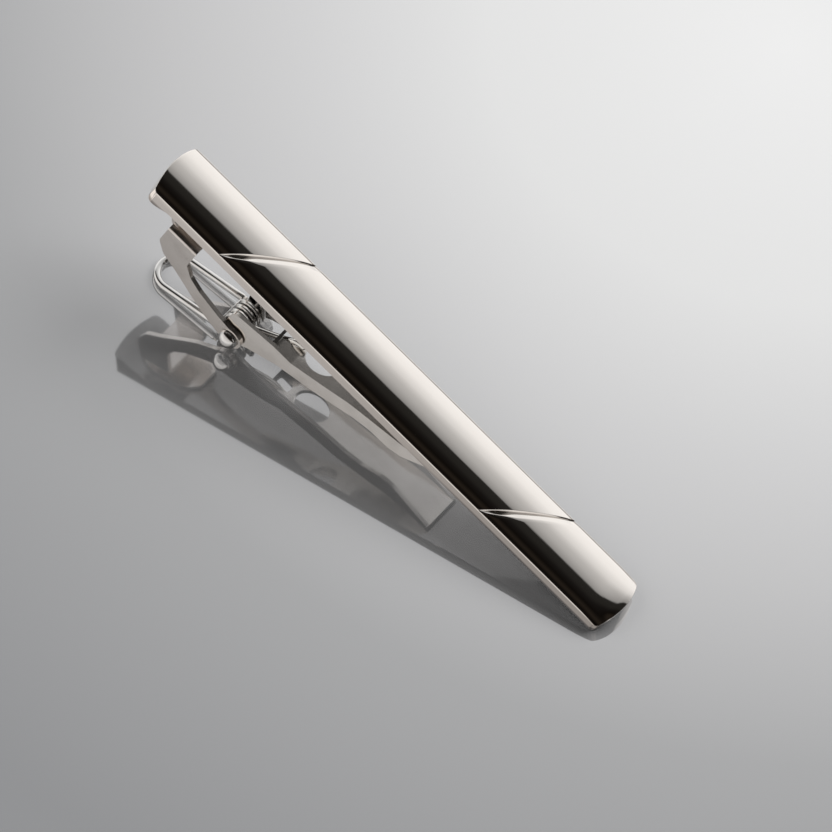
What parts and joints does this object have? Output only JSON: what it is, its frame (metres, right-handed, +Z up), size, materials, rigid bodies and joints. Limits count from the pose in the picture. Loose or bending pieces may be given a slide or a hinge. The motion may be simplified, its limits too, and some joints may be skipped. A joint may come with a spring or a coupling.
{
  "type": "tie clip",
  "caption": "Slim domed tie clip bar with two slanted grooves, and under it a sprung jaw on a pinned bracket with a wire loop to press",
  "frame": {"origin": "middle of the bounding box's base, which is the table the clip rests on", "axes": "+X along the bar towards its right end, +Y across it towards the far side, +Z up from the table; the bar slopes down to the right by 15.0 degrees, resting on its right end and on the handle loop"},
  "size_m": [0.0568, 0.0078, 0.0171],
  "materials": {
    "bar": "mirror-polished plate with a slight warm tint",
    "clip_bracket": "polished nickel plate",
    "pivot_pin": "polished nickel plate",
    "jaw": "polished nickel plate with fine press marks",
    "handle_loop": "polished nickel plate",
    "spring": "drawn spring wire"
  },
  "bodies": {
    "clip_frame": {"bar": "bar", "clip_bracket": "clip_bracket", "pivot_pin": "pivot_pin"},
    "lever": {"jaw": "jaw", "handle_loop": "handle_loop", "spring": "spring"}
  },
  "joints": [
    {"name": "jaw_hinge", "type": "hinge", "parent": "clip_frame", "child": "lever", "pos_m": [-0.01638, 0, 0.00205], "axis": [0, 1, 0], "range_deg": [0, 26], "stiffness_Nm_per_rad": 0.03, "springref_deg": -0.69}
  ]
}
